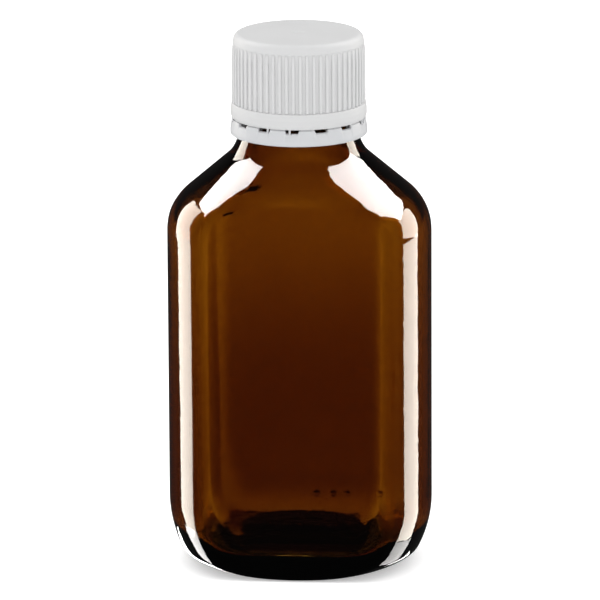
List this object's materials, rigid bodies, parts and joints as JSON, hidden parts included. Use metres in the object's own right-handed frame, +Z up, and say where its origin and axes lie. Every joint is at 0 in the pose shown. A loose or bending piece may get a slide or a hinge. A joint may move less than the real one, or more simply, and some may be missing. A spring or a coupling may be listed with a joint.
{
  "type": "medicine bottle",
  "caption": "Flat-sided amber glass medicine bottle with a ribbed white screw cap, sealing liner and a break-off tamper band.",
  "frame": {"origin": "centre of the standing ring, on the surface that the bottle stands on, on the axis of the neck", "axes": "+Z up along the neck, +X across the width, -Y out of the front flat, +Y out of the back flat"},
  "size_m": [0.0604, 0.041, 0.124],
  "materials": {
    "amber_glass": "glossy amber",
    "white_plastic": "satin moulded",
    "band_plastic": "satin moulded",
    "liner_foam": "matt foam"
  },
  "bodies": {
    "bottle": {"glass_bottle": "amber_glass"},
    "liner": {"sealing_liner": "liner_foam"},
    "cap": {"screw_cap": "white_plastic"},
    "band": {"tamper_band": "band_plastic", "break_bridges": "band_plastic"}
  },
  "joints": [
    {"name": "cap_lift", "type": "slide", "parent": "bottle", "child": "liner", "axis": [0, 0, 1], "range_m": [0, 0.02067]},
    {"name": "cap_turn", "type": "hinge", "parent": "liner", "child": "cap", "pos_m": [0, 0, 0.1225], "axis": [0, 0, 1], "range_deg": [0, 2340]},
    {"name": "band_turn", "type": "hinge", "parent": "bottle", "child": "band", "pos_m": [0, 0, 0.1035], "axis": [0, 0, 1], "continuous": true}
  ],
  "couplings": [
    {"joint": "cap_lift", "follows": "cap_turn", "m_per_rad": 0.00050611}
  ]
}
